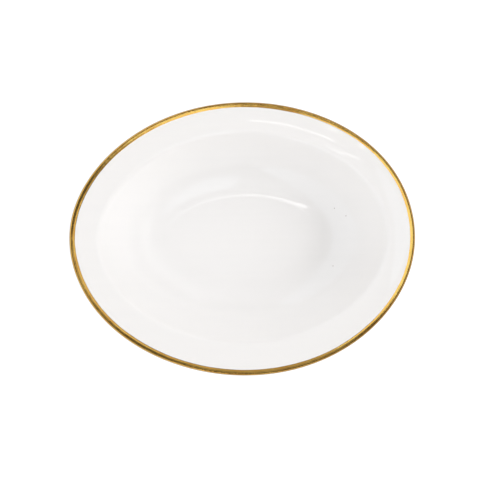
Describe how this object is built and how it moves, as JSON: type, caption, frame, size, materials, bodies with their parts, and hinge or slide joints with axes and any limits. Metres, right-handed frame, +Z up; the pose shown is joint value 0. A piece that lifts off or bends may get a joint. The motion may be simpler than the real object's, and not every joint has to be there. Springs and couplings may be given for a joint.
{
  "type": "china serving platter",
  "caption": "Oval serving dish in glazed china with a wide sloping flange, a deep rounded well, a foot ring underneath and a gold band over the rim edge.",
  "frame": {"origin": "middle of the oval on the plane that the foot ring stands on", "axes": "+X along the length of the oval, +Y along its width, +Z up through the well"},
  "size_m": [0.248, 0.196, 0.0455],
  "materials": {
    "bare_china": "unglazed fired china, fine and matt, seen only on the standing edge of the foot ring",
    "glaze": "smooth glossy warm white glaze",
    "gold": "bright burnished gold"
  },
  "bodies": {
    "root": {"china_body": "bare_china", "face_glaze": "glaze", "back_glaze": "glaze", "foot_recess_glaze": "glaze", "gold_rim_band": "gold"}
  },
  "joints": []
}
